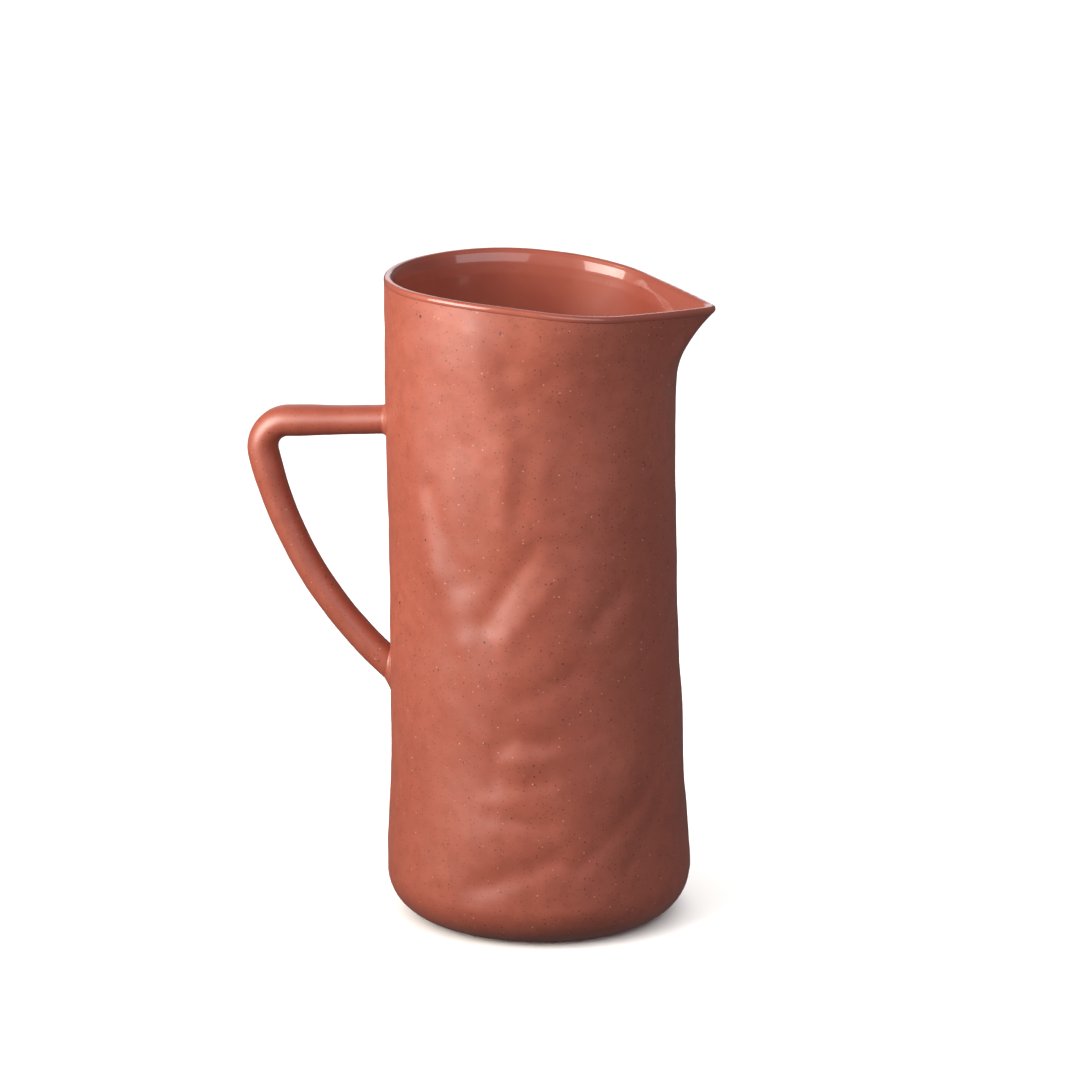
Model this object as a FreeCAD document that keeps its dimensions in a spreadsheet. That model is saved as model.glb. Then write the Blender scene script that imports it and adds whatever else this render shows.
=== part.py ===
import FreeCAD, Part
import math
import os
import Sketcher

# A hand-built stoneware pitcher. Millimetres, +Z up, the spout along +X and the handle along -X,
# the origin in the middle of the resting face.

doc = FreeCAD.newDocument("pitcher")
sheet = doc.addObject("Spreadsheet::Sheet", "dims")

# Driving dimensions: alias, value, meaning. A lean is how far a section sits to the handle side.
DIMENSIONS = [
    ("foot_radius", 58.8, "widest radius, just above the rounded foot"),
    ("foot_round", 16.9, "radius of the rounded outer edge of the foot"),
    ("foot_top", 22.0, "height where the tapered tube starts"),
    ("floor_thick", 6.0, "thickness of the floor slab"),
    ("low_level", 62.0, "low section: height"),
    ("low_radius", 56.9, "low section: radius"),
    ("low_lean", 0.8, "low section: lean"),
    ("mid_level", 130.0, "middle section: height"),
    ("mid_radius", 55.4, "middle section: radius"),
    ("mid_lean", 2.4, "middle section: lean"),
    ("high_level", 172.0, "high section: height"),
    ("high_radius", 55.25, "high section: radius"),
    ("high_lean", 3.0, "high section: lean"),
    ("neck_level", 208.0, "last round section: height"),
    ("neck_radius", 55.3, "last round section: radius"),
    ("neck_lean", 3.2, "last round section: lean"),
    ("spout_lean", 3.0, "lean of the sections that carry the spout"),
    ("rim_radius", 55.2, "radius of those sections behind the spout"),
    ("root_level", 222.7, "root of the spout: height"),
    ("root_reach", 58.7, "root of the spout: reach from the section's centre"),
    ("root_cheek", 2.0, "root of the spout: flat length before the shoulder"),
    ("root_shoulder", 52.0, "root of the spout: shoulder radius"),
    ("root_nose", 34.0, "root of the spout: nose radius"),
    ("beak_level", 240.0, "beak: height of its tip"),
    ("beak_reach", 70.8, "beak: reach from the section's centre"),
    ("beak_cheek", 8.0, "beak: flat length before the shoulder"),
    ("beak_shoulder", 42.5, "beak: shoulder radius"),
    ("beak_nose", 6.0, "beak: nose radius"),
    ("crown_level", 254.0, "section above the rim, before trimming: height"),
    ("crown_reach", 76.0, "section above the rim: reach"),
    ("wall_thick", 4.2, "wall thickness"),
    ("root_thick", 3.7, "wall thickness at the root of the spout"),
    ("lip_thick", 3.1, "wall thickness at the lip"),
    ("glaze_thick", 0.5, "thickness of the glaze coat"),
    ("rim_back", 250.4, "rim height at the back"),
    ("rim_bend_start", 40.0, "distance behind the origin where the rim starts to fall"),
    ("rim_bend_radius", 400.0, "radius of the bend in the rim line"),
    ("rim_fall", 7.6, "slope of the falling rim, in degrees"),
    ("trim_reach", 95.0, "half length of the trimming cut"),
    ("trim_top", 275.0, "top of the trimming cut"),
    ("leg_start", 54.0, "start of the handle's centre line, inside the wall"),
    ("leg_level", 192.6, "height of the handle's centre line at its start"),
    ("leg_length", 43.8, "straight upper leg"),
    ("leg_droop", 2.6, "fall of the upper leg, in degrees"),
    ("corner_radius", 10.5, "centre line radius of the corner"),
    ("corner_turn", 100.0, "turn of the corner, in degrees"),
    ("arm_radius", 155.0, "centre line radius of the lower leg"),
    ("arm_turn", 39.0, "turn of the lower leg, in degrees"),
    ("handle_thick", 11.0, "handle section in the plane of the loop"),
    ("handle_wide", 13.6, "handle section across that plane"),
    ("slip_depth", 3.0, "how far the slip forms start inside the wall"),
    ("upper_slip_reach", 3.2, "how far the upper slip runs along the leg"),
    ("upper_slip_swell", 1.7, "how far the upper slip spreads on the wall"),
    ("slip_feather", 0.25, "thickness of the slip where it runs out on the handle"),
    ("lower_slip_wall", 57.6, "distance of the wall's face from the axis at the lower joint"),
    ("lower_slip_reach", 4.2, "how far the lower slip runs off the wall"),
    ("lower_slip_level", 95.4, "height of the lower slip's middle on the wall"),
    ("lower_slip_tall", 22.5, "height of the lower slip on the wall"),
    ("lower_slip_wide", 17.4, "width of the lower slip on the wall"),
    ("lower_root_level", 98.9, "height of the handle's middle where the slip runs out"),
    ("lower_root_tall", 15.9, "height of the slip where it runs out"),
]

for row, (alias, value, meaning) in enumerate(DIMENSIONS, start=1):
    sheet.set("A%d" % row, alias)
    sheet.set("B%d" % row, str(value))
    sheet.set("C%d" % row, meaning)
    sheet.setAlias("B%d" % row, alias)
doc.recompute()


def size(expression):
    """The value of a sum such as "rim_radius - lip_thick", read from the sheet."""
    total, sign = 0.0, 1.0
    for word in expression.split():
        if word in "+-":
            sign = 1.0 if word == "+" else -1.0
        else:
            total += sign * float(sheet.get(word))
    return total


def cells(expression):
    """The same sum as an expression on the sheet's cells."""
    return " ".join(word if word in "+-" else "dims." + word for word in expression.split())


def vec(x, y, z=0.0):
    return FreeCAD.Vector(x, y, z)


def new_body(label):
    body = doc.addObject("PartDesign::Body", label)
    body.Label = label
    return body


def sketch_on(body, role, name, shift=None):
    """A sketch on one of the body's origin planes, shifted along the sketch's axes by sheet sums."""
    plane = [feature for feature in body.Origin.OriginFeatures if feature.Role == role][0]
    sketch = body.newObject("Sketcher::SketchObject", name)
    sketch.AttachmentSupport = [(plane, "")]
    sketch.MapMode = "FlatFace"
    for axis, expression in (shift or {}).items():
        sketch.setExpression("AttachmentOffset.Base." + axis, expression)
    return sketch


def rule(sketch, *terms):
    sketch.addConstraint(Sketcher.Constraint(*terms))


def measure(sketch, name, expression, *terms):
    """A dimensional constraint whose value the sheet drives."""
    number = sketch.addConstraint(Sketcher.Constraint(*terms, size(expression)))
    sketch.renameConstraint(number, name)
    sketch.setExpression("Constraints." + name, cells(expression))


def arc(centre, radius, start, end):
    """An arc between two angles in degrees, counter-clockwise."""
    circle = Part.Circle(centre, vec(0, 0, 1), radius)
    return Part.ArcOfCircle(circle, math.radians(start), math.radians(end))


def line(start, end):
    return Part.LineSegment(start, end)


ORIGIN = (-1, 1)
X_AXIS, Y_AXIS = -1, -2
START, END, CENTRE = 1, 2, 3

def closed_profile(sketch, shapes, smooth=(), backward=()):
    """Joins each edge to the next, tangent after the edges in smooth.

    An arc always runs counter-clockwise, so backward lists the arcs that the outline meets end first.
    """
    for shape in shapes:
        sketch.addGeometry(shape, False)
    for edge in range(len(shapes)):
        following = (edge + 1) % len(shapes)
        leaving = START if edge in backward else END
        entering = END if following in backward else START
        joint = "Tangent" if edge in smooth else "Coincident"
        rule(sketch, joint, edge, leaving, following, entering)


def circle_section(body, name, level, lean, radius):
    sketch = sketch_on(body, "XY_Plane", name, {"x": "-(%s)" % cells(lean) if lean else "0", "z": cells(level)})
    sketch.addGeometry(Part.Circle(vec(0, 0), vec(0, 0, 1), size(radius)), False)
    rule(sketch, "Coincident", 0, CENTRE, *ORIGIN)
    measure(sketch, "radius", radius, "Radius", 0)
    return sketch


# The topmost circle is split where the beak sections change from back to cheek, shoulder, flank and
# nose, so that each of its eight arcs lofts to its own edge of the next section.
NECK_SPLITS = [90, 270, 279, 318, 356, 364, 402, 441, 450]


def split_circle_section(body, name, level, lean, radius):
    sketch = sketch_on(body, "XY_Plane", name, {"x": "-(%s)" % cells(lean), "z": cells(level)})
    for ends in zip(NECK_SPLITS, NECK_SPLITS[1:]):
        edge = sketch.addGeometry(arc(vec(0, 0), size(radius), *ends), False)
        rule(sketch, "Coincident", edge, CENTRE, *ORIGIN)
    closing = len(NECK_SPLITS) - 2
    for edge in range(closing + 1):
        rule(sketch, "Coincident", edge, END, 0 if edge == closing else edge + 1, START)
    measure(sketch, "radius", radius, "Radius", 0)
    return sketch


def beak_section(body, name, level, lean, radius, cheek, shoulder, nose, reach):
    """A round back, flat cheeks, tighter shoulders and straight flanks that meet in a small nose."""
    sketch = sketch_on(body, "XY_Plane", name, {"x": "-(%s)" % cells(lean), "z": cells(level)})
    back_r, shoulder_r, nose_r = size(radius), size(shoulder), size(nose)
    shoulder_at = vec(size(cheek), back_r - shoulder_r)
    nose_at = vec(size(reach) - nose_r, 0)
    between = nose_at - shoulder_at
    reach_angle = math.atan2(-between.y, between.x)
    flank = math.degrees(math.acos((shoulder_r - nose_r) / between.Length) - reach_angle)
    normal = vec(math.cos(math.radians(flank)), math.sin(math.radians(flank)))
    hip = shoulder_at + normal * shoulder_r
    tip = nose_at + normal * nose_r

    def low(point):
        return vec(point.x, -point.y)

    for shape in [
        arc(vec(0, 0), back_r, 90, 270),
        line(vec(0, -back_r), vec(shoulder_at.x, -back_r)),
        arc(low(shoulder_at), shoulder_r, 270, 360 - flank),
        line(low(hip), low(tip)),
        arc(nose_at, nose_r, -flank, flank),
        line(tip, hip),
        arc(shoulder_at, shoulder_r, flank, 90),
        line(vec(shoulder_at.x, back_r), vec(0, back_r)),
    ]:
        sketch.addGeometry(shape, False)
    rule(sketch, "Coincident", 0, CENTRE, *ORIGIN)
    rule(sketch, "PointOnObject", 4, CENTRE, X_AXIS)
    for edge in range(7):
        rule(sketch, "Tangent", edge, END, edge + 1, START)
    rule(sketch, "Tangent", 7, END, 0, START)
    rule(sketch, "Horizontal", 1)
    rule(sketch, "Horizontal", 7)
    rule(sketch, "Equal", 2, 6)
    measure(sketch, "back", radius, "Radius", 0)
    measure(sketch, "shoulder", shoulder, "Radius", 2)
    measure(sketch, "nose", nose, "Radius", 4)
    measure(sketch, "nose_at", "%s - %s" % (reach.split()[0], nose.split()[0]), "DistanceX", *ORIGIN, 4, CENTRE)
    measure(sketch, "cheek", cheek, "DistanceX", *ORIGIN, 2, CENTRE)
    return sketch


def turned(body, sketch):
    """Turns a profile about the pitcher's upright axis."""
    feature = body.newObject("PartDesign::Revolution", body.Label + "_turned")
    feature.Profile = sketch
    feature.ReferenceAxis = (sketch, ["V_Axis"])
    feature.Angle = 360.0
    return feature


def loft(body, name, sections):
    feature = body.newObject("PartDesign::AdditiveLoft", name)
    feature.Profile = sections[0]
    feature.Sections = sections[1:]
    return feature


def tube(body, inset):
    """The tapered tube and its drawn spout, each section smaller by the wall's and the coat's inset."""
    cuts = {place: "" for place in ("wall", "root", "lip")}
    if inset in ("wall", "coat"):
        cuts = {place: " - %s_thick" % place for place in cuts}
    if inset == "coat":
        cuts = {place: cut + " - glaze_thick" for place, cut in cuts.items()}
    name = body.Label + "_"
    rounds = [circle_section(body, name + "foot", "foot_top", None, "foot_radius" + cuts["wall"])]
    for place in ("low", "mid", "high", "neck"):
        rounds.append(circle_section(
            body, name + place, place + "_level", place + "_lean", place + "_radius" + cuts["wall"]))
    loft(body, name + "tube", rounds)
    beaks = [split_circle_section(
        body, name + "split_neck", "neck_level", "neck_lean", "neck_radius" + cuts["wall"])]
    for place, cut, form in (("root", "root", "root"), ("beak", "lip", "beak"), ("crown", "lip", "beak")):
        beaks.append(beak_section(
            body, name + place, place + "_level", "spout_lean", "rim_radius" + cuts[cut], form + "_cheek",
            form + "_shoulder" + cuts[cut], form + "_nose" + cuts[cut], place + "_reach" + cuts[cut]))
    loft(body, name + "spout", beaks)


def trimmed_at_rim(body):
    """Cuts away everything above the rim line, which is level behind and falls to the tip."""
    sketch = sketch_on(body, "XZ_Plane", body.Label + "_rim")
    reach, top, back = size("trim_reach"), size("trim_top"), size("rim_back")
    bend, fall = size("rim_bend_radius"), math.radians(size("rim_fall"))
    bend_from = vec(-size("rim_bend_start"), back)
    bend_to = bend_from + vec(bend * math.sin(fall), bend * (math.cos(fall) - 1))
    tip_side = vec(reach, bend_to.y - (reach - bend_to.x) * math.tan(fall))
    closed_profile(sketch, [
        line(bend_from, vec(-reach, back)),
        line(vec(-reach, back), vec(-reach, top)),
        line(vec(-reach, top), vec(reach, top)),
        line(vec(reach, top), tip_side),
        line(tip_side, bend_to),
        arc(bend_from - vec(0, bend), bend, 90 - size("rim_fall"), 90),
    ])
    for edge in (0, 2):
        rule(sketch, "Horizontal", edge)
    for edge in (1, 3):
        rule(sketch, "Vertical", edge)
    measure(sketch, "back", "rim_back", "DistanceY", *ORIGIN, 0, START)
    measure(sketch, "bend_start", "rim_bend_start", "DistanceX", 0, START, *ORIGIN)
    measure(sketch, "bend", "rim_bend_radius", "Radius", 5)
    measure(sketch, "back_reach", "trim_reach", "DistanceX", 1, START, *ORIGIN)
    measure(sketch, "tip_reach", "trim_reach", "DistanceX", *ORIGIN, 3, START)
    measure(sketch, "top", "trim_top", "DistanceY", *ORIGIN, 2, START)
    cut = body.newObject("PartDesign::Pocket", body.Label + "_trim")
    cut.Profile = sketch
    cut.Type = "ThroughAll"
    cut.SideType = "Symmetric"
    return cut


# Three nested forms share the tube: the outside, the hollow that the clay leaves, and the room that
# is left inside the glaze. The hollow of the clay has no floor, because the floor is its own slab.

outer_form = new_body("outer_form")
foot = sketch_on(outer_form, "XZ_Plane", "outer_form_profile")
flat, rounding = size("foot_radius - foot_round"), size("foot_round")
side, top = size("foot_radius"), size("foot_top")
closed_profile(foot, [
    line(vec(0, 0), vec(flat, 0)),
    arc(vec(flat, rounding), rounding, 270, 360),
    line(vec(side, rounding), vec(side, top)),
    line(vec(side, top), vec(0, top)),
    line(vec(0, top), vec(0, 0)),
], smooth=[0, 1])
rule(foot, "Coincident", 0, START, *ORIGIN)
rule(foot, "Horizontal", 0)
rule(foot, "Horizontal", 3)
rule(foot, "Vertical", 4)
measure(foot, "round", "foot_round", "Radius", 1)
measure(foot, "radius", "foot_radius", "DistanceX", *ORIGIN, 2, END)
measure(foot, "top", "foot_top", "DistanceY", *ORIGIN, 3, END)
turned(outer_form, foot)
tube(outer_form, None)
trimmed_at_rim(outer_form)

clay_hollow = new_body("clay_hollow")
inner = sketch_on(clay_hollow, "XZ_Plane", "clay_hollow_profile")
bend = size("foot_round - wall_thick")
inside = size("foot_radius - wall_thick")
closed_profile(inner, [
    line(vec(0, 0), vec(flat, 0)),
    line(vec(flat, 0), vec(flat, size("wall_thick"))),
    arc(vec(flat, rounding), bend, 270, 360),
    line(vec(inside, rounding), vec(inside, top)),
    line(vec(inside, top), vec(0, top)),
    line(vec(0, top), vec(0, 0)),
], smooth=[2])
rule(inner, "Coincident", 0, START, *ORIGIN)
for edge in (0, 4):
    rule(inner, "Horizontal", edge)
for edge in (1, 5):
    rule(inner, "Vertical", edge)
measure(inner, "seat", "foot_radius - foot_round", "DistanceX", *ORIGIN, 0, END)
measure(inner, "edge", "wall_thick", "DistanceY", *ORIGIN, 1, END)
measure(inner, "bend", "foot_round - wall_thick", "Radius", 2)
measure(inner, "side", "foot_radius - wall_thick", "DistanceX", *ORIGIN, 3, END)
measure(inner, "top", "foot_top", "DistanceY", *ORIGIN, 4, END)
turned(clay_hollow, inner)
tube(clay_hollow, "wall")


def bowl_form(label, inset, coat):
    """The smooth inside of the vessel: flat floor, coved corner, then the tube."""
    body = new_body(label)
    profile = sketch_on(body, "XZ_Plane", label + "_profile")
    cove, low = "foot_top - floor_thick" + coat, "floor_thick" + coat.replace("-", "+")
    wall = "foot_radius - wall_thick" + coat
    cove_r, wall_r, floor_z = size(cove), size(wall), size(low)
    closed_profile(profile, [
        line(vec(0, floor_z), vec(wall_r - cove_r, floor_z)),
        arc(vec(wall_r - cove_r, top), cove_r, 270, 360),
        line(vec(wall_r, top), vec(0, top)),
        line(vec(0, top), vec(0, floor_z)),
    ], smooth=[0])
    rule(profile, "PointOnObject", 0, START, Y_AXIS)
    rule(profile, "Horizontal", 0)
    rule(profile, "Horizontal", 2)
    rule(profile, "Vertical", 3)
    measure(profile, "floor", low, "DistanceY", *ORIGIN, 0, START)
    measure(profile, "cove", cove, "Radius", 1)
    measure(profile, "side", wall, "DistanceX", *ORIGIN, 1, END)
    measure(profile, "top", "foot_top", "DistanceY", *ORIGIN, 2, END)
    turned(body, profile)
    tube(body, inset)
    return body


glazed_hollow = bowl_form("glazed_hollow", "wall", "")
free_room = bowl_form("free_room", "coat", " - glaze_thick")


def boolean(kind, label, base, tool):
    result = doc.addObject("Part::" + kind, label)
    result.Base = base
    result.Tool = tool
    result.Label = label
    return result


# The wall: one rolled slab of clay with its lower edge turned in and its upper edge drawn out.

body_wall = boolean("Cut", "body_wall", outer_form, clay_hollow)

# The floor slab sits inside the turned-in edge and carries the resting face.

base_slab = new_body("base_slab")
disc = sketch_on(base_slab, "XY_Plane", "base_slab_outline")
disc.addGeometry(Part.Circle(vec(0, 0), vec(0, 0, 1), flat), False)
rule(disc, "Coincident", 0, CENTRE, *ORIGIN)
measure(disc, "radius", "foot_radius - foot_round", "Radius", 0)
pad = base_slab.newObject("PartDesign::Pad", "base_slab_pad")
pad.Profile = disc
pad.setExpression("Length", "dims.floor_thick")

# The coil pressed into the corner: round against the wall, hollow towards the room.

seam_coil = new_body("seam_coil")
bead = sketch_on(seam_coil, "XZ_Plane", "seam_coil_profile")
cove = size("foot_top - floor_thick")
floor_z = size("floor_thick")
closed_profile(bead, [
    line(vec(inside - cove, floor_z), vec(flat, floor_z)),
    line(vec(flat, floor_z), vec(flat, size("wall_thick"))),
    arc(vec(flat, rounding), bend, 270, 360),
    line(vec(inside, rounding), vec(inside, top)),
    arc(vec(inside - cove, top), cove, 270, 360),
], smooth=[2, 3, 4], backward=[4])
rule(bead, "Horizontal", 0)
for edge in (1, 3):
    rule(bead, "Vertical", edge)
measure(bead, "floor", "floor_thick", "DistanceY", *ORIGIN, 0, START)
measure(bead, "seat", "foot_radius - foot_round", "DistanceX", *ORIGIN, 0, END)
measure(bead, "edge", "wall_thick", "DistanceY", *ORIGIN, 1, END)
measure(bead, "bend", "foot_round - wall_thick", "Radius", 2)
measure(bead, "side", "foot_radius - wall_thick", "DistanceX", *ORIGIN, 3, START)
measure(bead, "cove", "foot_top - floor_thick", "Radius", 4)
turned(seam_coil, bead)

# The glaze coats the floor, the coil and the wall, up to the lip: what is left of the whole vessel
# once its room and its clay are taken away.

glaze_and_clay = boolean("Cut", "glaze_and_clay", outer_form, free_room)
glaze_and_base = boolean("Cut", "glaze_and_base", glaze_and_clay, body_wall)
glaze_and_coil = boolean("Cut", "glaze_and_coil", glaze_and_base, base_slab)
liner_glaze = boolean("Cut", "liner_glaze", glaze_and_coil, seam_coil)

# The handle: a clay rod of oval section along an upper leg, one tight corner and a long lower leg.

handle_rod = new_body("handle_rod")
path = sketch_on(handle_rod, "XZ_Plane", "handle_path")
droop = math.radians(180 + size("leg_droop"))
heading = vec(math.cos(droop), math.sin(droop))
leg_from = vec(-size("leg_start"), size("leg_level"))
leg_to = leg_from + heading * size("leg_length")
first = 90 + size("leg_droop")
second = first + size("corner_turn")


def spoke(degrees):
    return vec(math.cos(math.radians(degrees)), math.sin(math.radians(degrees)))


corner_at = leg_to - spoke(first) * size("corner_radius")
arm_from = corner_at + spoke(second) * size("corner_radius")
arm_at = arm_from - spoke(second) * size("arm_radius")
path.addGeometry(line(leg_from, leg_to), False)
path.addGeometry(arc(corner_at, size("corner_radius"), first, second), False)
path.addGeometry(arc(arm_at, size("arm_radius"), second, second + size("arm_turn")), False)
rule(path, "Tangent", 0, END, 1, START)
rule(path, "Tangent", 1, END, 2, START)
measure(path, "start", "leg_start", "DistanceX", 0, START, *ORIGIN)
measure(path, "level", "leg_level", "DistanceY", *ORIGIN, 0, START)
measure(path, "leg", "leg_length", "Distance", 0)
measure(path, "corner", "corner_radius", "Radius", 1)
measure(path, "arm", "arm_radius", "Radius", 2)


def oval_section(body, name, away, level, wide, tall):
    """An upright oval across the handle's plane, at a distance behind the axis."""
    shift = {"y": cells(level), "z": "-(%s)" % cells(away)}
    sketch = sketch_on(body, "YZ_Plane", name, shift)
    across, up = vec(size(wide) / 2, 0), vec(0, size(tall) / 2)
    lying = across.Length > up.Length
    longest, shortest = (across, up) if lying else (up, across)
    sketch.addGeometry(Part.Ellipse(longest, shortest, vec(0, 0)), False)
    sketch.exposeInternalGeometry(0)
    long_axis, short_axis = 1, 2
    rule(sketch, "Coincident", 0, CENTRE, *ORIGIN)
    rule(sketch, "Horizontal" if lying else "Vertical", long_axis)
    measure(sketch, "longest", wide if lying else tall, "Distance", long_axis)
    measure(sketch, "shortest", tall if lying else wide, "Distance", short_axis)
    return sketch


rod = handle_rod.newObject("PartDesign::AdditivePipe", "handle_pipe")
rod.Profile = oval_section(
    handle_rod, "handle_section", "leg_start", "leg_level", "handle_wide", "handle_thick")
rod.Spine = (path, [])
handle = boolean("Cut", "handle", handle_rod, outer_form)

# The slip worked around the two luted joints: a swelling on the wall that runs out along the handle.


def slip(label, wall_oval, handle_oval):
    body = new_body(label + "_form")
    ovals = [oval_section(body, label + "_wall", *wall_oval), oval_section(body, label + "_end", *handle_oval)]
    loft(body, label + "_swelling", ovals)
    around_wall = boolean("Cut", label + "_off_wall", body, outer_form)
    return boolean("Cut", label, around_wall, handle_rod)


upper_handle_joint = slip(
    "upper_handle_joint",
    ("high_radius + high_lean - slip_depth", "leg_level",
     "handle_wide + upper_slip_swell + upper_slip_swell",
     "handle_thick + upper_slip_swell + upper_slip_swell"),
    ("high_radius + high_lean + upper_slip_reach", "leg_level",
     "handle_wide + slip_feather + slip_feather",
     "handle_thick + slip_feather + slip_feather"))

lower_handle_joint = slip(
    "lower_handle_joint",
    ("lower_slip_wall - slip_depth", "lower_slip_level", "lower_slip_wide", "lower_slip_tall"),
    ("lower_slip_wall + lower_slip_reach", "lower_root_level", "handle_wide", "lower_root_tall"))

doc.recompute()

PIECES = [body_wall, base_slab, seam_coil, liner_glaze, handle, upper_handle_joint, lower_handle_joint]

failed = [thing.Name for thing in doc.Objects if {"Invalid", "Error"} & set(thing.State)]
if failed:
    raise RuntimeError("these features failed: " + ", ".join(failed))
for piece in PIECES:
    if piece.Shape.isNull() or not piece.Shape.isValid() or len(piece.Shape.Solids) != 1:
        raise RuntimeError("not one valid solid: " + piece.Label)

os.makedirs("parts", exist_ok=True)
for piece in PIECES:
    piece.Shape.exportStep("parts/%s.step" % piece.Label)
    print("%-20s %9.0f mm3" % (piece.Label, piece.Shape.Volume))
print("handle path %.1f mm" % path.Shape.Length)
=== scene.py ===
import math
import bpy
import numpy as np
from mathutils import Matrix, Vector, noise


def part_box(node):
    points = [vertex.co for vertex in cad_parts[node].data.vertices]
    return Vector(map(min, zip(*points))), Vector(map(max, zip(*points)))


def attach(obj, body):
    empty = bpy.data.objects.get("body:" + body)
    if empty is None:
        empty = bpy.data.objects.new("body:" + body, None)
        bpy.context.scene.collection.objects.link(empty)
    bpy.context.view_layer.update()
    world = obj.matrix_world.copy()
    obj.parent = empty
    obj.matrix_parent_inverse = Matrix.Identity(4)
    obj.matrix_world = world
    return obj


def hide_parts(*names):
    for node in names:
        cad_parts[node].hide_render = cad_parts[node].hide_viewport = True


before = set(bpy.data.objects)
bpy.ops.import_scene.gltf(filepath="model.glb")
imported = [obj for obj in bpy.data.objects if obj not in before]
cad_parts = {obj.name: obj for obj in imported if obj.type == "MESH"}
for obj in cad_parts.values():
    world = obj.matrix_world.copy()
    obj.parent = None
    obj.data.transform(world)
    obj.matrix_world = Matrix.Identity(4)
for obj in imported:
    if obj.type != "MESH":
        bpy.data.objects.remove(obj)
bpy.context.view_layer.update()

# %% [markdown]
# # A hand-built stoneware pitcher
# The pitcher is made as a potter makes it: a slab of clay is rolled into a tube, its foot is
# paddled round, its rim is drawn out to a beak, a bent rod of clay becomes the handle, and a clear
# glaze is poured over the inside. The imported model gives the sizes, so it is read first.

MM = 0.001
boxes = {node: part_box(node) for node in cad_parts}

# %% [markdown]
# ## The side profile
# Seen from the side, the tube narrows a little and leans towards the handle. Its driving sizes come
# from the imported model, so that the two stay the same size.

# %% Driving sizes, in millimetres
FOOT_RADIUS = boxes["body_wall"][1].y / MM     # widest radius, just above the rounded foot
SEAT_RADIUS = boxes["base_slab"][1].x / MM     # where the rounded foot leaves the table
FOOT_ROUND = FOOT_RADIUS - SEAT_RADIUS         # radius of the paddled edge
FLOOR_TOP = boxes["base_slab"][1].z / MM
COIL_TOP = boxes["seam_coil"][1].z / MM
RIM_BACK = boxes["body_wall"][1].z / MM        # rim height behind the spout
TIP_REACH = boxes["body_wall"][1].x / MM       # how far the spout stands out in front of the axis
RING = 55.2                                    # radius of the round upper part
SPOUT_LEAN = 3.7                               # how far the rim's centre sits to the handle side
FOOT_LEAN = 0.5
print("foot radius %.1f, rim %.1f, spout reach %.1f mm" % (FOOT_RADIUS, RIM_BACK, TIP_REACH))

# %% [markdown]
# A few heights, each with its radius and lean, say the whole profile. A smooth curve through them
# gives the heights between. The curve never swings past a row, so the wall gets no false bulge.

# %% Radius and lean at any height
PROFILE = np.array([  # height, radius, lean towards the handle
    (0.0, FOOT_RADIUS, FOOT_LEAN),
    (FOOT_ROUND, 58.6, FOOT_LEAN),
    (30, 58.1, 0.7),
    (62, 56.8, 1.1),
    (96, 55.9, 1.7),
    (130, 55.3, 2.5),
    (172, RING, 3.3),
    (208, 55.3, SPOUT_LEAN),
    (250, 55.4, SPOUT_LEAN),
    (270, 55.4, SPOUT_LEAN),
])


def smooth_through(table, column, at):
    """A smooth curve through one column of a table, without overshoot between its rows."""
    x, y = table[:, 0], table[:, column]
    step = np.diff(x)
    slope = np.diff(y) / step
    before, after = slope[:-1], slope[1:]
    same = before * after > 0
    mean = 2 * before * after / np.where(same, before + after, 1.0)
    tangent = np.concatenate([slope[:1], np.where(same, mean, 0.0), slope[-1:]])
    at = np.clip(np.asarray(at, float), x[0], x[-1])
    k = np.clip(np.searchsorted(x, at, side="right") - 1, 0, len(step) - 1)
    t = (at - x[k]) / step[k]
    return (y[k] * (1 + 2 * t) * (1 - t) ** 2 + y[k + 1] * t * t * (3 - 2 * t)
            + step[k] * (tangent[k] * t * (1 - t) ** 2 - tangent[k + 1] * t * t * (1 - t)))


print("radius at 30, 130 and 240 mm:", smooth_through(PROFILE, 1, [30, 130, 240]).round(1))

# %% [markdown]
# ## The spout
# The spout is the rim's own clay, drawn out with a finger. From above, its outline is a ring pulled
# to a beak: a round back, full shoulders, straight flanks and a small round nose. That is the line
# of a string stretched round discs, so it is worked out that way, with discs that change with
# height.

# %% The outline of the vessel from above, at any height
SPOUT = np.array([  # height, share of the draw, nose radius, shoulder radius, cheek
    (203, 0.00, 55.2, 55.2, 0.0),
    (212, 0.025, 46.0, 54.0, 0.6),
    (218.5, 0.11, 36.0, 52.0, 1.6),
    (224, 0.26, 26.0, 50.0, 3.0),
    (231.5, 0.57, 14.0, 46.5, 5.5),
    (240, 1.03, 6.0, 42.5, 8.0),
    (250, 1.45, 5.0, 42.5, 8.0),
    (262, 1.70, 5.0, 42.5, 8.0),
])
DIRECTIONS = np.radians(np.arange(-180.0, 180.0, 0.15))
COLUMNS = 240                       # columns of faces round the pitcher, about 1.5 mm wide
ANGLES = np.radians(180.0 + 360.0 * np.arange(COLUMNS + 1) / COLUMNS)
GRAZING = 0.05                      # a line nearly along the column doesn't bound it


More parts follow.
